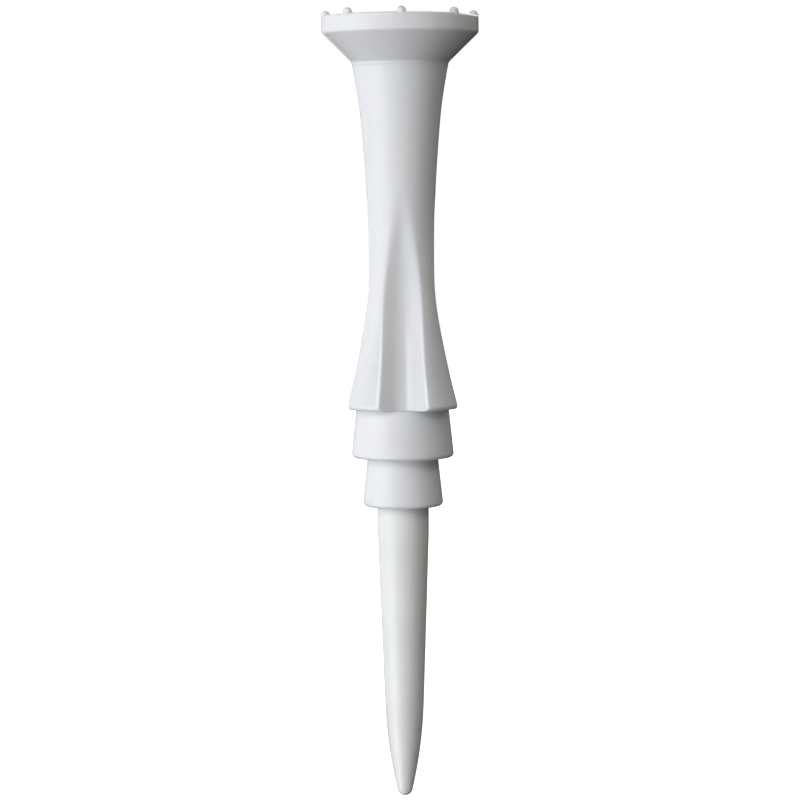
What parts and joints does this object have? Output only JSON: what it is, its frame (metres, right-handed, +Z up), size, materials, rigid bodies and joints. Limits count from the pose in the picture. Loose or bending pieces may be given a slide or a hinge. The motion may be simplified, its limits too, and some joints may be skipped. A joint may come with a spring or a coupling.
{
  "type": "golf tee",
  "caption": "Stepped plastic golf tee: a shallow cup with rim nubs on a waisted, fluted sleeve, over two stop collars and a tapered spike.",
  "frame": {"origin": "tip of the spike, on the tee's own axis", "axes": "+Z up the axis from the tip to the ball; -Y (front) and +X, +Y, -X each face one of the skirt's four grooves"},
  "size_m": [0.0164, 0.0164, 0.083],
  "materials": {
    "white_plastic": "satin moulded, slightly cool white",
    "warm_white_plastic": "satin moulded, slightly warm white"
  },
  "bodies": {
    "root": {"cup_head": "white_plastic", "fluted_sleeve": "white_plastic", "upper_step_collar": "white_plastic", "lower_step_collar": "white_plastic", "ground_spike": "warm_white_plastic"}
  },
  "joints": []
}
